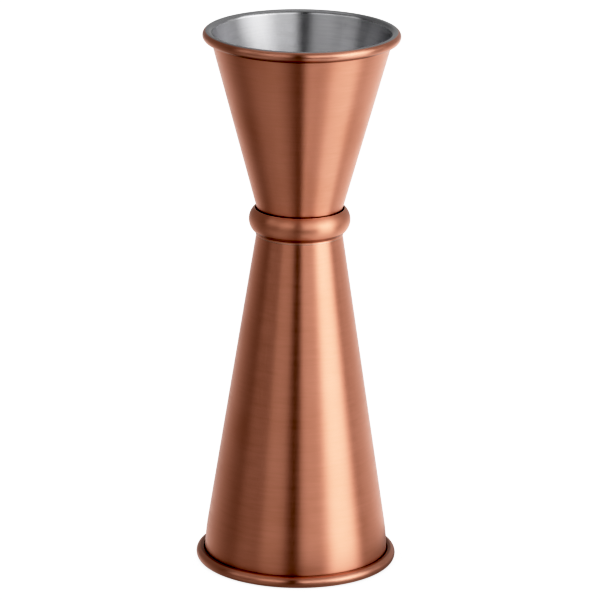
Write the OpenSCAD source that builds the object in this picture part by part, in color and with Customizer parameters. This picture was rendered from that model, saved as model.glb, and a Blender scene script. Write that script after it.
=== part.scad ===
// Bar jigger: two conical measuring cups joined end to end at a narrow waist,
// with a formed collar round the joint. The large cup stands mouth down.
// Units are millimetres. The axis is Z and the origin is the centre of the
// large cup's brim plane, so the jigger stands on z = 0.

/* [Overall] */
// Height from brim to brim
overall_height = 126; // [122:0.5:132]
// Height of the joint between the two cups
waist_height = 81.3; // [79:0.1:83]

/* [Small cup] */
// Outside diameter over the rolled rim
small_mouth_d = 45.1; // [43:0.1:47]
// Outside diameter that the cone would have at the joint
small_waist_d = 18; // [17:0.1:18.3]
// Diameter of the rolled rim's bead
small_bead_d = 2.35; // [2.3:0.05:2.8]

/* [Large cup] */
// Outside diameter over the rolled rim
large_mouth_d = 46.4; // [44:0.1:48]
// Outside diameter that the cone would have at the joint
large_waist_d = 18.9; // [18.4:0.1:19.4]
// Diameter of the rolled rim's bead
large_bead_d = 2.65; // [2.4:0.05:2.9]
// Radius of the gentle curve that straightens the wall towards the mouth
mouth_curve_r = 62; // [50:1:100]
// Lean of the wall where it reaches the rolled rim, in degrees
mouth_lean = 1.2; // [0.5:0.1:3]

/* [Sheet metal] */
// Thickness of the steel sheet
steel_t = 0.6; // [0.5:0.05:0.65]
// Thickness of the copper layer
copper_t = 0.1; // [0.08:0.01:0.12]
// Inside radius of the corner between floor and wall
floor_corner_r = 1.5; // [1:0.1:2.5]
// Width of the bare flat land that the brims are lapped to
brim_land = 0.6; // [0.4:0.05:0.8]
// Angle past the crown where the copper begins on the rolled rim, in degrees
plating_start = 25; // [20:1:35]
// Thickness of the brazing alloy between the two floors
braze_t = 0.2; // [0.1:0.05:0.3]

/* [Collar] */
// Thickness of the collar's sheet
collar_t = 0.25; // [0.2:0.01:0.3]
// Outside diameter at the fullest part of the bulge
collar_d = 23.3; // [23:0.1:23.8]
// Outside radius of the bulge's round section
bulge_r = 3.6; // [3.5:0.05:3.8]
// Height of the fullest part of the bulge above the joint
bulge_rise = 0.55; // [0.3:0.05:0.7]
// Angle at which the free upper lip ends, measured up from the fullest part
lip_angle = 49; // [46:1:53]
// Radius of the hollow fillet between bulge and skirt
skirt_fillet_r = 0.3; // [0.2:0.05:0.5]
// Thickness that the skirt is burnished down to
skirt_t = 0.12; // [0.1:0.01:0.2]
// Length of the skirt below the fillet
skirt_h = 0.3; // [0.2:0.05:1]

/* [Hidden] */
$fn = 120;

wall_t = steel_t + copper_t;
small_height = overall_height - waist_height;
large_height = waist_height;
small_bead_r = small_bead_d / 2;
large_bead_r = large_bead_d / 2;

// The curl runs from the wall, over the crown, to a free edge that stops just
// short of the wall and leaves a fine slot into the hollow bead.
curl_end = -105;
copper_start = 90 - plating_start;

// Largest angle between neighbouring points on a round stretch of outline.
arc_step = 10;
// The same for the long curve near the large mouth.
mouth_curve_step = 1.6;

function polar(radius, angle) = radius * [cos(angle), sin(angle)];

function arc(centre, radius, from, to, step = arc_step) =
    let (pieces = ceil(abs(to - from) / step))
    [for (i = [0:pieces]) centre + polar(radius, from + (to - from) * i / pieces)];

// Half the angle that the flat land takes from the crown of the curl.
function land_angle(bead_r) = asin(brim_land / 2 / bead_r);

// Centre of a curl whose land lies on the brim plane.
function curl_centre(mouth_d, height, bead_r) =
    [mouth_d / 2 - bead_r, height - bead_r * cos(land_angle(bead_r))];

// A straight wall leaves the joint plane at the radius start and touches a
// circle. Its lean is measured from the axis. The radius is positive when the
// circle's centre lies on the inner side of the wall and negative when it
// lies on the outer side.
function touching_lean(start, centre, radius) =
    let (run = centre.x - start, rise = centre.y)
    atan2(run, rise) + asin(radius / norm([run, rise]));

// Each cup is drawn mouth up, with its joint plane at z = 0. The cavity face
// is the inside of the wall, and every layer is an offset outward from it.
function cavity_start(waist_d, mouth_d, height) =
    let (rough_lean = atan2(mouth_d - waist_d, 2 * height))
    waist_d / 2 - wall_t / cos(rough_lean);

// Small cup: a straight wall from the floor corner to the curl.
small_start = cavity_start(small_waist_d, small_mouth_d, small_height);
small_curl = curl_centre(small_mouth_d, small_height, small_bead_r);
small_lean = touching_lean(small_start, small_curl, -small_bead_r);

// Large cup: a straight wall, then a long curve that is tangent to the curl.
large_start = cavity_start(large_waist_d, large_mouth_d, large_height);
large_curl = curl_centre(large_mouth_d, large_height, large_bead_r);
curve_centre = large_curl - polar(large_bead_r + mouth_curve_r, -mouth_lean);
large_lean = touching_lean(large_start, curve_centre, mouth_curve_r);

// Centre of the round corner between the floor and the wall.
function corner_centre(start, lean) =
    let (rise = braze_t / 2 + steel_t + floor_corner_r)
    [start + rise * tan(lean) - floor_corner_r / cos(lean), rise];
small_corner = corner_centre(small_start, small_lean);
large_corner = corner_centre(large_start, large_lean);

// Wall faces at an offset from the cavity face, listed from floor to mouth.
function small_wall_face(offset) = [
    small_corner + polar(floor_corner_r + offset, -small_lean),
    small_curl - polar(small_bead_r - offset, -small_lean)
];

function large_wall_face(offset) = concat(
    [large_corner + polar(floor_corner_r + offset, -large_lean)],
    arc(curve_centre, mouth_curve_r + offset, -large_lean, -mouth_lean, mouth_curve_step)
);

// Round corner face that runs on into the floor, listed from floor to wall.
function corner_face(corner, lean, offset) = concat(
    [[0, corner.y - floor_corner_r - offset]],
    arc(corner, floor_corner_r + offset, -90, -lean)
);

// Outline of the rolled rim, from the mouth round to the hollow side of the
// wall. It is lapped flat on its crown, and its outer side is cut back by the
// thickness of the copper.
function curl_outline(centre, bead_r, lean) =
    let (land = land_angle(bead_r))
    concat(
        arc(centre, bead_r, 180 - lean, 90 + land),
        arc(centre, bead_r, 90 - land, copper_start),
        arc(centre, bead_r - copper_t, copper_start, curl_end),
        arc(centre, bead_r - wall_t, curl_end, 180 - lean)
    );

function reverse(points) = [for (i = [len(points) - 1:-1:0]) points[i]];

// Steel sheet from the axis along the floor, up the wall and round the curl.
module cup_sheet(corner, lean, cavity_face, outer_face, curl) {
    rotate_extrude() polygon(concat(
        corner_face(corner, lean, 0),
        cavity_face,
        curl,
        reverse(outer_face),
        reverse(corner_face(corner, lean, steel_t))
    ));
}

// Copper on the outer face of the wall and on the outer side of the bead.
module cup_plating(inner_face, outer_face, curl, bead_r) {
    rotate_extrude() polygon(concat(inner_face, reverse(outer_face)));
    rotate_extrude() polygon(concat(
        arc(curl, bead_r - copper_t, copper_start, curl_end),
        arc(curl, bead_r, curl_end, copper_start)
    ));
}

// Stands a cup on the joint with its mouth up.
module above_joint() {
    translate([0, 0, waist_height]) children();
}

// Hangs a cup below the joint with its mouth down.
module below_joint() {
    translate([0, 0, waist_height]) mirror([0, 0, 1]) children();
}

module small_cup() {
    color("silver") above_joint() cup_sheet(
        small_corner,
        small_lean,
        small_wall_face(0),
        small_wall_face(steel_t),
        curl_outline(small_curl, small_bead_r, small_lean)
    );
}

module small_cup_plating() {
    color("peru") above_joint() cup_plating(
        small_wall_face(steel_t),
        small_wall_face(wall_t),
        small_curl,
        small_bead_r
    );
}

module large_cup() {
    color("silver") below_joint() cup_sheet(
        large_corner,
        large_lean,
        large_wall_face(0),
        large_wall_face(steel_t),
        curl_outline(large_curl, large_bead_r, mouth_lean)
    );
}

module large_cup_plating() {
    color("peru") below_joint() cup_plating(
        large_wall_face(steel_t),
        large_wall_face(wall_t),
        large_curl,
        large_bead_r
    );
}

// Collar: a round bulge, then a hollow fillet, then a thin skirt. Both faces of
// the skirt run parallel to the large cup's wall.
bulge_centre = [collar_d / 2 - bulge_r, waist_height + bulge_rise];
bulge_inner_r = bulge_r - collar_t;

// Distance of the bulge's centre from a face at an offset from the large
// cup's cavity face. It is negative when the centre lies inside that face.
function bulge_to_face(offset) =
    (bulge_centre.x - large_start + bulge_rise * tan(large_lean)) * cos(large_lean) - offset;

fillet_reach = bulge_r + skirt_fillet_r;
fillet_run = skirt_fillet_r - bulge_to_face(wall_t + skirt_t);
fillet_angle = large_lean - acos(fillet_run / fillet_reach);
fillet_centre = bulge_centre + polar(fillet_reach, fillet_angle);
seat_angle = large_lean - acos(-bulge_to_face(wall_t) / bulge_inner_r);

// Thin ring whose skirt grips the large cup's taper and whose rounded upper
// lip stands clear of the small cup.
module waist_collar() {
    lip_centre = bulge_centre + polar(bulge_r - collar_t / 2, lip_angle);
    skirt_foot = fillet_centre - polar(skirt_fillet_r, large_lean)
        + polar(skirt_h, large_lean - 90);
    color("chocolate") rotate_extrude() polygon(concat(
        [skirt_foot],
        arc(fillet_centre, skirt_fillet_r, large_lean + 180, fillet_angle + 180, 2 * arc_step),
        arc(bulge_centre, bulge_r, fillet_angle + arc_step, lip_angle - arc_step),
        arc(lip_centre, collar_t / 2, lip_angle, lip_angle + 180, 3 * arc_step),
        arc(bulge_centre, bulge_inner_r, lip_angle - arc_step, seat_angle),
        [skirt_foot - polar(skirt_t, large_lean)]
    ));
}

// Disc of brazing alloy that fills the gap between the two flat floors.
module floor_braze() {
    color("gold") translate([0, 0, waist_height - braze_t / 2])
        cylinder(h = braze_t, r = min(small_corner.x, large_corner.x));
}

small_cup();
small_cup_plating();
large_cup();
large_cup_plating();
waist_collar();
floor_braze();
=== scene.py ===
import math

import bpy
from mathutils import Matrix, Vector


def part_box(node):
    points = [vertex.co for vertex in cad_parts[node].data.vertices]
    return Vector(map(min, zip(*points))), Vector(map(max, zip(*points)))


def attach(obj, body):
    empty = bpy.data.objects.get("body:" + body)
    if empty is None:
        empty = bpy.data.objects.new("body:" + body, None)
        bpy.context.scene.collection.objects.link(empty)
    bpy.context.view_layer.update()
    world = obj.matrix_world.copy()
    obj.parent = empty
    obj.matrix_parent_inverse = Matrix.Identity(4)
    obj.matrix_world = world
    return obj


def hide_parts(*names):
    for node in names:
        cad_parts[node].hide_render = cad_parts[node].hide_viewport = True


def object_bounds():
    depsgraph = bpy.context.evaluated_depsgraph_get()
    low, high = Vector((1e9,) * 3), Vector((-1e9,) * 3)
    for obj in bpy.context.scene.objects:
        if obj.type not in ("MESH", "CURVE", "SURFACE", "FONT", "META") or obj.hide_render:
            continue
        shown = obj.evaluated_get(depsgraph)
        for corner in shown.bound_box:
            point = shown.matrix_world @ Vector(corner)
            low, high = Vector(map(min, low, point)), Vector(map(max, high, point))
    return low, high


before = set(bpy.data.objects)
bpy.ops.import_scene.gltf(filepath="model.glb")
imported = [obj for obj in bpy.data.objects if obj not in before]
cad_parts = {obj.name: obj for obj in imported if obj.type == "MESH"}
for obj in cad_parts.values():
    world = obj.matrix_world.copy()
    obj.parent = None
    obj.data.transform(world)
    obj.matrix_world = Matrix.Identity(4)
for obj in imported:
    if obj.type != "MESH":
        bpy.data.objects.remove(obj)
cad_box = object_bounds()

# A bar jigger. Lengths are millimetres until a mesh is made, and angles are degrees.
MM = 0.001

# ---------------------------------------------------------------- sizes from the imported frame
def outer_radius(node):
    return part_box(node)[1].x / MM


braze_low, braze_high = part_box("floor_braze")
HEIGHT = cad_box[1].z / MM
JOINT = (braze_low.z + braze_high.z) / 2 / MM
BRAZE_T = (braze_high.z - braze_low.z) / MM
SMALL_MOUTH_R = outer_radius("small_cup_plating")
LARGE_MOUTH_R = outer_radius("large_cup_plating")
COLLAR_R = outer_radius("waist_collar")

# ---------------------------------------------------------------- sizes of the sheet-metal forms
# The frame gives boxes only, so these repeat the part's own sizes.
SMALL_WAIST_R, LARGE_WAIST_R = 9.0, 9.45
SMALL_BEAD_R, LARGE_BEAD_R = 1.175, 1.325
MOUTH_CURVE_R, MOUTH_LEAN = 62.0, 1.2
STEEL_T, COPPER_T = 0.6, 0.1
WALL_T = STEEL_T + COPPER_T
CORNER_R = 1.5
BRIM_LAND = 0.6
COPPER_START, CURL_END = 65.0, -105.0
COLLAR_T, BULGE_R, BULGE_RISE, LIP_ANGLE = 0.25, 3.6, 0.55, 49.0
SKIRT_FILLET_R, SKIRT_T, SKIRT_H = 0.3, 0.12, 0.3

# Faces round the axis, the spacing of points along a wall, and their distances from its ends.
ROUND_SEGMENTS = 240
SPACING, END_STEPS = 2.0, (0.15, 0.3, 0.5, 0.8, 1.2)
# Outline points this close to the axis lie on it.
AXIS_R = 1e-6

# Painted shade under the collar's bulge, and the heights near an edge at which a wall gets more
# points.
UNDER_BULGE_SHADE_REACH, UNDER_BULGE_SHADE = 1.35, 0.62
SHADE_EDGE_STEPS = (-0.1, 0.0, 0.06, 0.12, 0.2, 0.3, 0.45)


# ---------------------------------------------------------------- outlines
def polar(radius, angle):
    return Vector((radius * math.cos(math.radians(angle)), radius * math.sin(math.radians(angle))))


def arc(centre, radius, start, end, step=5.0):
    pieces = max(1, math.ceil(abs(end - start) / step))
    return [centre + polar(radius, start + (end - start) * i / pieces) for i in range(pieces + 1)]


def straight(a, b):
    """Points strictly between a and b, closer together near both ends of a long run."""
    length = (b - a).length
    ends = list(END_STEPS) if length > 3 * END_STEPS[-1] else []
    first, last = (ends[-1], length - ends[-1]) if ends else (0.0, length)
    pieces = max(1, math.ceil((last - first) / SPACING))
    middle = [first + (last - first) * i / pieces for i in range(1, pieces)]
    return [a.lerp(b, d / length) for d in ends + middle + [length - d for d in reversed(ends)]]


def chain(*runs):
    """One outline from several runs, with points along the long gaps between them."""
    points = []
    for run in runs:
        if points:
            points += straight(points[-1], run[0])
        points += run
    return points


def ringed(points, heights):
    """The same outline with added points wherever it crosses the given heights."""
    made = [points[0]]
    for a, b in zip(points, points[1:]):
        crossed = [h for h in heights if min(a.y, b.y) < h < max(a.y, b.y)]
        made += [a.lerp(b, (h - a.y) / (b.y - a.y)) for h in sorted(crossed, reverse=a.y > b.y)]
        made.append(b)
    return made


def touching_lean(start, centre, radius):
    """Lean from the axis of a straight wall that leaves the joint plane at the radius start and
    touches a circle. The radius is negative when the circle lies on the outer side."""
    run, rise = centre.x - start, centre.y
    return math.degrees(math.atan2(run, rise) + math.asin(radius / math.hypot(run, rise)))


def near(p, place, reach):
    """1 at a place, falling to 0 at the distance reach."""
    return max(0.0, 1 - (p - place).length / reach)


def fade(value, full, none):
    """1 up to full, falling to 0 at none."""
    return min(1.0, max(0.0, (none - value) / (none - full)))


class Cup:
    """One cup drawn mouth up, with the joint plane at height 0."""

    def __init__(self, waist_r, mouth_r, bead_r, height, curved, wall_soil, bead_painted_shade):
        self.bead_r = bead_r
        self.wall_soil, self.bead_painted_shade = wall_soil, bead_painted_shade
        self.land = math.degrees(math.asin(BRIM_LAND / 2 / bead_r))
        rough_lean = math.atan2(mouth_r - waist_r, height)
        start = waist_r - WALL_T / math.cos(rough_lean)
        self.curl = Vector((mouth_r - bead_r, height - bead_r * math.cos(math.radians(self.land))))
        if curved:
            self.bow = self.curl - polar(bead_r + MOUTH_CURVE_R, -MOUTH_LEAN)
            self.lean = touching_lean(start, self.bow, MOUTH_CURVE_R)
            self.mouth_lean = MOUTH_LEAN
        else:
            self.bow = None
            self.lean = touching_lean(start, self.curl, -bead_r)
            self.mouth_lean = self.lean
        rise = BRAZE_T / 2 + STEEL_T + CORNER_R
        tilt = math.radians(self.lean)
        self.start = start
        self.corner = Vector((start + rise * math.tan(tilt) - CORNER_R / math.cos(tilt), rise))

    def wall(self, offset):
        """Wall face at an offset from the cavity face, from floor to mouth."""
        foot = self.corner + polar(CORNER_R + offset, -self.lean)
        if self.bow:
            top = arc(self.bow, MOUTH_CURVE_R + offset, -self.lean, -MOUTH_LEAN, 0.8)
        else:
            top = [self.curl - polar(self.bead_r - offset, -self.lean)]
        return chain([foot], top)

    def floor(self, offset):
        """Floor and corner face, from the axis to the wall."""
        middle = Vector((0.0, self.corner.y - CORNER_R - offset))
        return chain([middle], arc(self.corner, CORNER_R + offset, -90, -self.lean))

    def steel(self):
        outer_bead = self.bead_r - COPPER_T
        return chain(
            self.floor(0),
            self.wall(0),
            arc(self.curl, self.bead_r, 180 - self.mouth_lean, 90 + self.land)[1:],
            arc(self.curl, self.bead_r, 90 - self.land, COPPER_START),
            arc(self.curl, outer_bead, COPPER_START, CURL_END),
            arc(self.curl, self.bead_r - WALL_T, CURL_END, 180 - self.mouth_lean, 8)[:-1],
            self.wall(STEEL_T)[::-1],
            self.floor(STEEL_T)[::-1],
        )

    def copper_wall(self, heights):
        full, none = self.wall_soil
        groove = [self.curl.y - self.bead_r * (full + (none - full) * i / 4) for i in range(5)]
        return self.wall(STEEL_T) + ringed(self.wall(WALL_T), heights + groove)[::-1]

    def copper_bead(self):
        inner = arc(self.curl, self.bead_r - COPPER_T, COPPER_START, CURL_END)
        return inner + arc(self.curl, self.bead_r, CURL_END, COPPER_START)

    def groove_painted_shade(self, p):
        """Painted shade in the groove where the bead turns back to the wall on the outside. On the
        wall it fades with depth below the curl's centre. On the bead it fades with the angle round
        it, down to a light even darkening of the whole bead."""
        out = p - self.curl
        # Points on the bead: painted shade near the groove, never less than the even darkening of the
        # bead.
        if abs(out.length - self.bead_r) < 0.01:
            full, none, darkening = self.bead_painted_shade
            return max(darkening, fade(math.degrees(math.atan2(out.y, out.x)), full, none))
        # Points on the wall: painted shade, deepest close under the bead.
        return fade(-out.y / self.bead_r, *self.wall_soil)


def collar_outline(large):
    """Collar round the joint, drawn with the joint plane at height 0."""
    centre = Vector((COLLAR_R - BULGE_R, BULGE_RISE))
    lean = large.lean
    tilt = math.radians(lean)

    def clearance(offset):
        return (centre.x - large.start + BULGE_RISE * math.tan(tilt)) * math.cos(tilt) - offset

    reach = BULGE_R + SKIRT_FILLET_R
    run = SKIRT_FILLET_R - clearance(WALL_T + SKIRT_T)
    fillet_angle = lean - math.degrees(math.acos(run / reach))
    fillet = centre + polar(reach, fillet_angle)
    inner_r = BULGE_R - COLLAR_T
    seat_angle = lean - math.degrees(math.acos(-clearance(WALL_T) / inner_r))
    lip = centre + polar(BULGE_R - COLLAR_T / 2, LIP_ANGLE)
    foot = fillet - polar(SKIRT_FILLET_R, lean) + polar(SKIRT_H, lean - 90)
    return (
        [foot]
        + arc(fillet, SKIRT_FILLET_R, lean + 180, fillet_angle + 180, 10)
        + arc(centre, BULGE_R, fillet_angle, LIP_ANGLE, 2.5)[1:]
        + arc(lip, COLLAR_T / 2, LIP_ANGLE, LIP_ANGLE + 180, 15)[1:]
        + arc(centre, inner_r, LIP_ANGLE, seat_angle, 4)[1:]
        + [foot - polar(SKIRT_T, lean)]
    ), centre, fillet


# ---------------------------------------------------------------- meshes
# Convex curvature, in radians per millimetre, that is fully worn and takes the full painted edge
# highlight, and the angle of a sharp edge.
FULL_WEAR_BEND, SHARP_ANGLE = 4.0, 32.0


def lathe(name, outlines, place, painted_shade_at):
    """Closed mesh made by turning closed outlines about the axis. Each vertex also holds how
    worn it is, from the outline's convex curvature, and how much painted shade it takes, from its
    place."""
    verts, faces, wear_and_highlight, painted_shade = [], [], [], []
    turns = [2 * math.pi * i / ROUND_SEGMENTS for i in range(ROUND_SEGMENTS)]
    for outline in outlines:
        points, soil = [place(p) for p in outline], [painted_shade_at(p) for p in outline]
        if sum(a.x * b.y - b.x * a.y for a, b in zip(points, points[1:] + points[:1])) < 0:
            points.reverse()
            soil.reverse()
        rings = []
        for i, p in enumerate(points):
            before, after = points[i - 1], points[(i + 1) % len(points)]
            into, out = p - before, after - p
            turn = math.atan2(into.x * out.y - into.y * out.x, into.dot(out))
            bend = max(0.0, turn) / max(1e-6, (into.length + out.length) / 2)
            ring = len(verts)
            if p.x < AXIS_R:
                verts.append((0, 0, p.y * MM))
                rings.append([ring] * ROUND_SEGMENTS)
            else:
                verts += [(p.x * MM * math.cos(t), p.x * MM * math.sin(t), p.y * MM) for t in turns]
                rings.append(list(range(ring, ring + ROUND_SEGMENTS)))
            count = len(verts) - ring
            wear_and_highlight += [min(1.0, bend / FULL_WEAR_BEND)] * count
            painted_shade += [soil[i]] * count
        for i, here in enumerate(rings):
            there = rings[(i + 1) % len(rings)]
            if points[i].x < AXIS_R and points[(i + 1) % len(points)].x < AXIS_R:
                continue
            for k in range(ROUND_SEGMENTS):
                n = (k + 1) % ROUND_SEGMENTS
                corners = [here[k], here[n], there[n], there[k]]
                faces.append(list(dict.fromkeys(corners)))
    mesh = bpy.data.meshes.new(name)
    mesh.from_pydata(verts, [], faces)
    mesh.validate()
    for label, values in (("wear_and_highlight", wear_and_highlight), ("painted_shade", painted_shade)):
        mesh.attributes.new(label, "FLOAT", "POINT").data.foreach_set("value", values)
    mesh.shade_smooth()
    mesh.set_sharp_from_angle(angle=math.radians(SHARP_ANGLE))
    piece = bpy.data.objects.new(name, mesh)
    bpy.context.scene.collection.objects.link(piece)
    return piece


# ---------------------------------------------------------------- shader nodes
class Tree:
    """Short calls for building a node tree."""

    def __init__(self, tree):
        self.tree = tree
        tree.nodes.clear()

    def node(self, kind, inputs=(), **settings):
        made = self.tree.nodes.new("ShaderNode" + kind)
        for key, value in settings.items():
            setattr(made, key, value)
        for key, value in dict(inputs).items():
            self.feed(made.inputs[key], value)
        return made

    def feed(self, socket, value):
        if isinstance(value, bpy.types.NodeSocket):
            self.tree.links.new(value, socket)
        else:
            socket.default_value = value

    def math(self, operation, *values):
        return self.node("Math", enumerate(values), operation=operation).outputs[0]

    def vector(self, operation, *values):
        made = self.node("VectorMath", enumerate(values), operation=operation)
        return made.outputs["Value" if operation == "LENGTH" else "Vector"]

    def ramp(self, value, low, high, to_low=0.0, to_high=1.0, smooth=True):
        made = self.node(
            "MapRange",
            {"Value": value, "From Min": low, "From Max": high, "To Min": to_low, "To Max": to_high},
            interpolation_type="SMOOTHSTEP" if smooth else "LINEAR",
        )
        return made.outputs["Result"]

    def mix(self, factor, a, b):
        made = self.node("Mix", data_type="RGBA")
        for socket, value in zip([made.inputs[0], made.inputs[6], made.inputs[7]], (factor, a, b)):
            self.feed(socket, value)
        return made.outputs[2]

    def noise(self, vector, scale=1.0, detail=2.0, roughness=0.5):
        made = self.node(
            "TexNoise",
            {"Vector": vector, "Scale": scale, "Detail": detail, "Roughness": roughness},
        )
        return made.outputs["Fac"]


# Each layer of turning marks, as noise cells per radian round the axis and per metre along it.
FINE_MARKS, COARSE_MARKS, BROAD_BANDS = (5.0, 5200.0), (2.2, 1300.0), (1.1, 70.0)
# Depth of the marks in metres.
MARK_DEPTH = 0.00002


def brush_coordinates(t, around, along):
    """Coordinates that change slowly round the axis and fast along it."""
    position = t.node("TexCoord").outputs["Object"]
    flat = t.vector("NORMALIZE", t.vector("MULTIPLY", position, (1, 1, 0)))
    turned = t.vector("MULTIPLY", flat, (around, around, 0))
    return t.vector("ADD", turned, t.vector("MULTIPLY", position, (0, 0, along)))


def brushed_metal(name, light, dark, stain_and_shade, bright, roughness, anisotropy, streaks=1.0, polish=0.03):
    """Metal with fine turning marks round the axis, tonal streaks, painted shade in grooves and gaps,
    and rolled rims and edges that wear has rubbed paler and smoother, with the pale colour as a
    painted highlight on the sharpest edges."""
    material = bpy.data.materials.new(name)
    material.use_nodes = True
    t = Tree(material.node_tree)
    fine = t.noise(brush_coordinates(t, *FINE_MARKS), detail=3.0, roughness=0.65)
    coarse = t.noise(brush_coordinates(t, *COARSE_MARKS), detail=3.0, roughness=0.6)
    broad = t.noise(brush_coordinates(t, *BROAD_BANDS), detail=2.0)
    cloud = t.noise(t.node("TexCoord").outputs["Object"], scale=55.0, detail=3.0)
    wear_and_highlight = t.node("Attribute", attribute_name="wear_and_highlight").outputs["Fac"]
    painted_shade = t.node("Attribute", attribute_name="painted_shade").outputs["Fac"]

    tone = t.math("ADD", t.math("MULTIPLY", coarse, 0.55), t.math("MULTIPLY", broad, 0.45))
    tone = t.ramp(tone, 0.5 - 0.3 / streaks, 0.5 + 0.3 / streaks)
    colour = t.mix(tone, (*dark, 1), (*light, 1))
    stained = t.math("MULTIPLY", t.ramp(cloud, 0.52, 0.74), 0.35)
    colour = t.mix(stained, colour, (*stain_and_shade, 1))
    # Painted shade: grooves, gaps and the faces under and inside the collar turn a very dark copper.
    deep = t.math("MULTIPLY", t.ramp(painted_shade, 0.0, 0.9), t.ramp(coarse, 0.2, 0.7, 0.62, 0.78))
    colour = t.mix(deep, colour, tuple(c * 0.1 for c in stain_and_shade) + (1,))
    # Paler colour on convex edges: rubbed wear broken up by noise.
    rubbed_and_highlight = t.math("MULTIPLY", wear_and_highlight, t.ramp(cloud, 0.35, 0.65, 0.4, 0.9))
    # Painted highlight: the sharpest edges, such as the collar's lip and skirt, take nearly the full
    # pale colour.
    rubbed_and_highlight = t.math("MAXIMUM", rubbed_and_highlight, t.ramp(wear_and_highlight, 0.6, 1.0, 0.0, 0.95))
    colour = t.mix(rubbed_and_highlight, colour, (*bright, 1))

    rough = t.ramp(coarse, 0.25, 0.75, roughness - 0.03, roughness + 0.03)
    rough = t.math("ADD", rough, t.math("MULTIPLY", t.math("SUBTRACT", cloud, 0.5), 0.06))
    rough = t.math("SUBTRACT", rough, t.ramp(wear_and_highlight, 0.1, 0.2, 0.0, polish))

    height = t.math("ADD", t.math("MULTIPLY", fine, 0.6), t.math("MULTIPLY", coarse, 0.4))
    bump = t.node("Bump", {"Strength": 0.35 * streaks, "Distance": MARK_DEPTH, "Height": height})
    shader = t.node(
        "BsdfPrincipled",
        {
            "Base Color": colour,
            "Metallic": 1.0,
            "Roughness": rough,
            "Anisotropic": anisotropy,
            "Anisotropic Rotation": 0.25,
            "Normal": bump.outputs["Normal"],
            "Tangent": t.node("Tangent", direction_type="RADIAL", axis="Z").outputs["Tangent"],
        },
    )
    t.node("OutputMaterial", {"Surface": shader.outputs["BSDF"]})
    return material


COPPER = brushed_metal(
    "brushed_copper",
    light=(0.92, 0.45, 0.33),
    dark=(0.82, 0.385, 0.27),
    stain_and_shade=(0.72, 0.32, 0.21),
    bright=(0.95, 0.60, 0.50),
    roughness=0.35,
    anisotropy=0.9,
)
COLLAR_COPPER = brushed_metal(
    "collar_copper",
    light=(0.90, 0.43, 0.305),
    dark=(0.81, 0.375, 0.26),
    stain_and_shade=(0.70, 0.31, 0.20),
    # Pale edge colour: partly wear, partly the painted highlight on the lip and skirt edges.
    bright=(0.96, 0.72, 0.62),
    roughness=0.40,
    anisotropy=0.75,
    streaks=0.6,
)
STEEL = brushed_metal(
    "brushed_steel",
    light=(0.66, 0.66, 0.67),
    dark=(0.55, 0.55, 0.565),
    stain_and_shade=(0.49, 0.48, 0.47),
    bright=(0.72, 0.72, 0.72),
    roughness=0.36,
    anisotropy=0.85,
    streaks=1.7,
    polish=0.13,
)
BRAZE = brushed_metal(
    "braze_alloy",
    light=(0.78, 0.68, 0.42),
    dark=(0.66, 0.55, 0.33),
    stain_and_shade=(0.42, 0.33, 0.20),
    bright=(0.85, 0.76, 0.52),
    roughness=0.45,
    anisotropy=0.2,
)


# ---------------------------------------------------------------- pieces
def above(p):
    return Vector((p.x, JOINT + p.y))


def below(p):
    return Vector((p.x, JOINT - p.y))


def no_painted_shade(p):
    return 0.0


def piece(name, node, slot, material, outlines, place, painted_shade_at=no_painted_shade):
    made = lathe(name, outlines, place, painted_shade_at)
    made.data.materials.append(material)
    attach(made, "root")
    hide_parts(node)
    return made


# Painted shade is full, then gone, at these depths in bead radii and at these angles round the bead.
# The third figure for the bead is an even darkening of the whole bead.
small = Cup(
    SMALL_WAIST_R, SMALL_MOUTH_R, SMALL_BEAD_R, HEIGHT - JOINT,
    curved=False, wall_soil=(1.3, 1.5), bead_painted_shade=(-72.0, -20.0, 0.2),
)
large = Cup(
    LARGE_WAIST_R, LARGE_MOUTH_R, LARGE_BEAD_R, JOINT,
    curved=True, wall_soil=(0.85, 1.1), bead_painted_shade=(-90.0, -60.0, 0.25),
)
ring, bulge, fillet = collar_outline(large)
LIP_TOP = bulge.y + (BULGE_R - COLLAR_T / 2) * math.sin(math.radians(LIP_ANGLE)) + COLLAR_T / 2
SKIRT_FOOT = -min(p.y for p in ring)


# Painted shade on the small cup's wall in the gap under the collar's lip.
def small_painted_shade(p):
    return max(fade(p.y, LIP_TOP + 0.12, LIP_TOP + 0.3), small.groove_painted_shade(p))


# Painted shade on the large cup's wall under the collar's skirt.
def large_painted_shade(p):
    return max(fade(p.y, SKIRT_FOOT, SKIRT_FOOT + 0.12), large.groove_painted_shade(p))


def collar_painted_shade(p):
    """Painted shade inside the collar, in the crease at the fillet, and on the underside of its bulge
    as far as the fillet.
    """
    hidden = (p - bulge).length < BULGE_R - 0.7 * COLLAR_T and p.y < LIP_TOP - 0.2
    pit = fillet + polar(SKIRT_FILLET_R, 120)
    # Painted shade under the bulge, strongest near the crease at the fillet.
    darkening = min(UNDER_BULGE_SHADE, 2 * near(p, pit, UNDER_BULGE_SHADE_REACH)) if p.y > pit.y - 0.1 else 0.0
    return 1.0 if hidden else max(darkening, near(p, pit, 0.3))


piece("small_cup_steel", "small_cup", "bare_steel", STEEL, [small.steel()], above)
piece("large_cup_steel", "large_cup", "bare_steel", STEEL, [large.steel()], below)
piece(
    "small_cup_copper", "small_cup_plating", "copper_plate", COPPER,
    [small.copper_wall([LIP_TOP + d for d in SHADE_EDGE_STEPS]), small.copper_bead()], above, small_painted_shade,
)
piece(
    "large_cup_copper", "large_cup_plating", "copper_plate", COPPER,
    [large.copper_wall([SKIRT_FOOT + d for d in SHADE_EDGE_STEPS]), large.copper_bead()], below, large_painted_shade,
)
piece("collar_ring", "waist_collar", "copper_collar", COLLAR_COPPER, [ring], above, collar_painted_shade)

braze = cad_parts["floor_braze"]
braze.data.materials.clear()
braze.data.materials.append(BRAZE)


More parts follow.
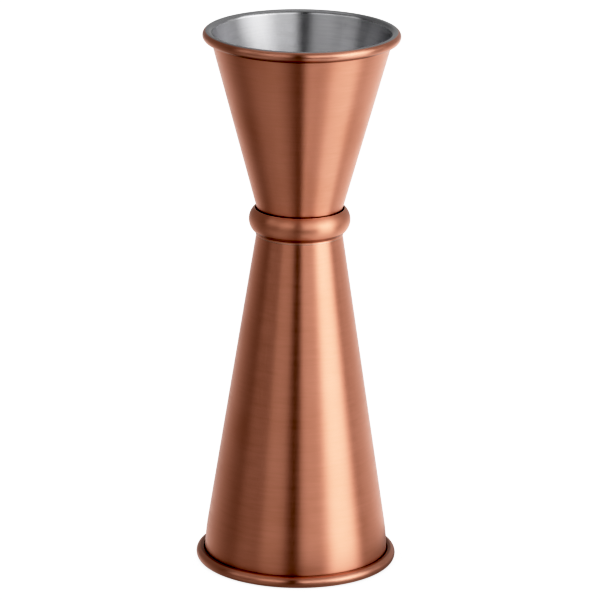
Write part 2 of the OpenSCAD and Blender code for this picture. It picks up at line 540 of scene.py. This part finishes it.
# ---------------------------------------------------------------- floor
FLOOR_RINGS, FLOOR_STEPS = (0.2, 0.6, 1.2, 2.4, 4.0), 64
# Brightness of the open floor, and of the floor where the object covers the sky.
FLOOR_WHITE, FLOOR_SHADED = 1.85, 1.2
CONTACT_REACH = 0.05
# The shaded disc of table that the metal reflects: its brightness, radius and centre.
SHADE_BRIGHTNESS, SHADE_R = 0.25, 0.031
SHADE_CENTRE = (0.006, 0.004, 0.0)


def floor_mesh():
    steps = FLOOR_STEPS
    turns = [2 * math.pi * k / steps for k in range(steps)]
    verts = [(0, 0, 0)] + [(r * math.cos(t), r * math.sin(t), 0) for r in FLOOR_RINGS for t in turns]
    faces = [(0, 1 + k, 1 + (k + 1) % steps) for k in range(steps)]
    for i in range(len(FLOOR_RINGS) - 1):
        a, b = 1 + i * steps, 1 + (i + 1) * steps
        faces += [(a + k, b + k, b + (k + 1) % steps, a + (k + 1) % steps) for k in range(steps)]
    mesh = bpy.data.meshes.new("floor")
    mesh.from_pydata(verts, [], faces)
    return mesh


def floor_material():
    """Pale floor, darker where the object stands. It can't be seen from below, and reflections
    see only the shaded disc close round the foot and the light beyond it."""
    material = bpy.data.materials.new("pale_floor")
    material.use_nodes = True
    t = Tree(material.node_tree)
    open_sky = t.node("AmbientOcclusion", {"Distance": CONTACT_REACH}, samples=8).outputs["AO"]
    strength = t.ramp(open_sky, 0.0, 0.8, FLOOR_SHADED, FLOOR_WHITE)
    glow = t.node("Emission", {"Strength": strength, "Color": (1, 1, 1, 1)})
    clear = t.node("BsdfTransparent")
    shade = t.node("Emission", {"Strength": SHADE_BRIGHTNESS, "Color": (1, 1, 1, 1)})
    place = t.vector("SUBTRACT", t.node("TexCoord").outputs["Object"], SHADE_CENTRE)
    far = t.ramp(t.vector("LENGTH", place), SHADE_R * 0.9, SHADE_R * 1.05)
    disc = t.node("MixShader", {0: far, 1: shade.outputs[0], 2: clear.outputs[0]})
    reflected = t.node("LightPath").outputs["Is Glossy Ray"]
    seen = t.node("MixShader", {0: reflected, 1: glow.outputs[0], 2: disc.outputs[0]})
    behind = t.node("NewGeometry").outputs["Backfacing"]
    both = t.node("MixShader", {0: behind, 1: seen.outputs[0], 2: clear.outputs[0]})
    t.node("OutputMaterial", {"Surface": both.outputs[0]})
    material.cycles.emission_sampling = "NONE"
    return material


def make_floor():
    floor = bpy.data.objects.new("floor", floor_mesh())
    bpy.context.scene.collection.objects.link(floor)
    floor.data.materials.append(floor_material())
    floor.visible_diffuse = False
    floor.visible_shadow = False


make_floor()


# ---------------------------------------------------------------- studio light
class Studio:
    """Soft light panels all round the object. Azimuth 0 is towards the camera and 90 is to its
    right, and elevation 0 is the horizon."""

    def __init__(self, t):
        self.t = t
        x, y, z = t.node("SeparateXYZ", {0: t.node("TexCoord").outputs["Generated"]}).outputs
        degrees = 180 / math.pi
        turned = t.math("ARCTAN2", x, t.math("MULTIPLY", y, -1.0))
        self.azimuth = t.math("MULTIPLY", turned, degrees)
        self.elevation = t.math("MULTIPLY", t.math("ARCSINE", z), degrees)
        self.light = 0.0

    def panel(self, strength, azimuth, half_width, low, high, side_edge=10.0, edge=10.0):
        """Adds a panel centred on an azimuth, from elevation low to high, with soft edges."""
        t = self.t
        off = t.math("ABSOLUTE", t.math("SUBTRACT", self.azimuth, azimuth))
        off = t.math("MINIMUM", off, t.math("SUBTRACT", 360.0, off))
        side = t.ramp(off, half_width + side_edge / 2, half_width - side_edge / 2)
        bottom = t.ramp(self.elevation, low - edge / 2, low + edge / 2)
        top = t.ramp(self.elevation, high + edge / 2, high - edge / 2)
        shape = t.math("MULTIPLY", side, t.math("MULTIPLY", bottom, top))
        self.light = t.math("ADD", self.light, t.math("MULTIPLY", shape, strength))


def softboxes(studio):
    """Left softbox with a brighter inner part, right softbox with two brighter parts low on it,
    and the key light."""
    studio.panel(1.0, azimuth=-47, half_width=37, low=15, high=40, edge=15)
    studio.panel(0.5, azimuth=-30, half_width=15, low=0, high=45, edge=50)
    studio.panel(1.5, azimuth=50, half_width=45, low=10, high=45)
    studio.panel(0.6, azimuth=60, half_width=54, low=5, high=25, side_edge=5, edge=15)
    studio.panel(0.3, azimuth=30, half_width=20, low=5, high=25)
    studio.panel(3.4, azimuth=56, half_width=17, low=15, high=23, side_edge=20)


def table_light(studio):
    """Light that comes back off the table: the key light's spill, right of the camera with a
    brighter strip, far right, left, and behind the object."""
    studio.panel(1.7, azimuth=65, half_width=20, low=-35, high=15, side_edge=20)
    studio.panel(1.2, azimuth=30, half_width=25, low=-60, high=-35)
    studio.panel(0.3, azimuth=15, half_width=8, low=-60, high=-35)
    studio.panel(0.75, azimuth=90, half_width=40, low=-80, high=-35, edge=25)
    studio.panel(0.55, azimuth=-55, half_width=40, low=-65, high=-20, side_edge=60, edge=40)
    studio.panel(1.2, azimuth=170, half_width=55, low=-45, high=-10, side_edge=105, edge=20)


def surroundings(studio):
    """The dim room behind the object, its paler right side, faint light from below all round,
    and the ceiling."""
    studio.panel(0.27, azimuth=180, half_width=95, low=-15, high=90, side_edge=80)
    studio.panel(0.2, azimuth=145, half_width=40, low=-40, high=50, side_edge=45)
    studio.panel(0.06, azimuth=0, half_width=180, low=-90, high=10, side_edge=1, edge=15)
    studio.panel(0.35, azimuth=0, half_width=180, low=55, high=200, side_edge=1, edge=20)


def make_world():
    world = bpy.data.worlds.new("studio")
    world.use_nodes = True
    bpy.context.scene.world = world
    t = Tree(world.node_tree)
    studio = Studio(t)
    softboxes(studio)
    table_light(studio)
    surroundings(studio)
    camera_ray = t.node("LightPath").outputs["Is Camera Ray"]
    strength = t.ramp(camera_ray, 0, 1, studio.light, FLOOR_WHITE, smooth=False)
    glow = t.node("Background", {"Color": (1, 1, 1, 1), "Strength": strength})
    t.node("OutputWorld", {"Surface": glow.outputs[0]})


make_world()


# ---------------------------------------------------------------- camera
# Distance and aim are fractions of the object's height.
CAMERA_PITCH, CAMERA_ROLL = 16.5, 0.7
CAMERA_DISTANCE, LENS = 8.35, 274.2
AIM_ACROSS, AIM_HEIGHT = 0.0025, 0.495


def make_camera():
    target = Vector((AIM_ACROSS, 0, AIM_HEIGHT)) * HEIGHT * MM
    pitch, roll = math.radians(CAMERA_PITCH), math.radians(CAMERA_ROLL)
    back = Vector((0, -math.cos(pitch), math.sin(pitch)))
    eye = target + back * CAMERA_DISTANCE * HEIGHT * MM
    forward = (target - eye).normalized()
    right = forward.cross(Vector((0, 0, 1))).normalized()
    up = right.cross(forward)
    x = math.cos(roll) * right + math.sin(roll) * up
    y = -math.sin(roll) * right + math.cos(roll) * up
    data = bpy.data.cameras.new("camera")
    data.lens = LENS
    data.clip_start, data.clip_end = 0.01, 20.0
    camera = bpy.data.objects.new("camera", data)
    bpy.context.scene.collection.objects.link(camera)
    camera.matrix_world = Matrix.Translation(eye) @ Matrix((x, y, -forward)).transposed().to_4x4()
    bpy.context.scene.camera = camera


make_camera()


# Tone curve: black and white are scene brightnesses, the toe deepens shadows, and the shoulder
# rolls highlights off towards white.
TONE_BLACK, TONE_WHITE = 0.05, 1.8
TONE_GAIN, TONE_TOE, TONE_SHOULDER = 0.95, 1.2, 2.5
TONE_POINTS = 10


def shown_brightness(scene_value):
    def rolled(value):
        lifted = TONE_GAIN * (value - TONE_BLACK) ** TONE_TOE
        return lifted / (1 + lifted ** TONE_SHOULDER) ** (1 / TONE_SHOULDER)
    return rolled(scene_value) / rolled(TONE_WHITE)


def set_tone():
    view = bpy.context.scene.view_settings
    view.view_transform = "Standard"
    view.look = "None"
    view.use_curve_mapping = True
    mapping = view.curve_mapping
    mapping.black_level = (TONE_BLACK,) * 3
    mapping.white_level = (TONE_WHITE,) * 3
    curve = mapping.curves[3]
    for i in range(1, TONE_POINTS):
        # The points lie closer together in the shadows.
        place = (i / TONE_POINTS) ** 1.5
        scene_value = TONE_BLACK + place * (TONE_WHITE - TONE_BLACK)
        curve.points.new(place, shown_brightness(scene_value))
    mapping.update()


set_tone()
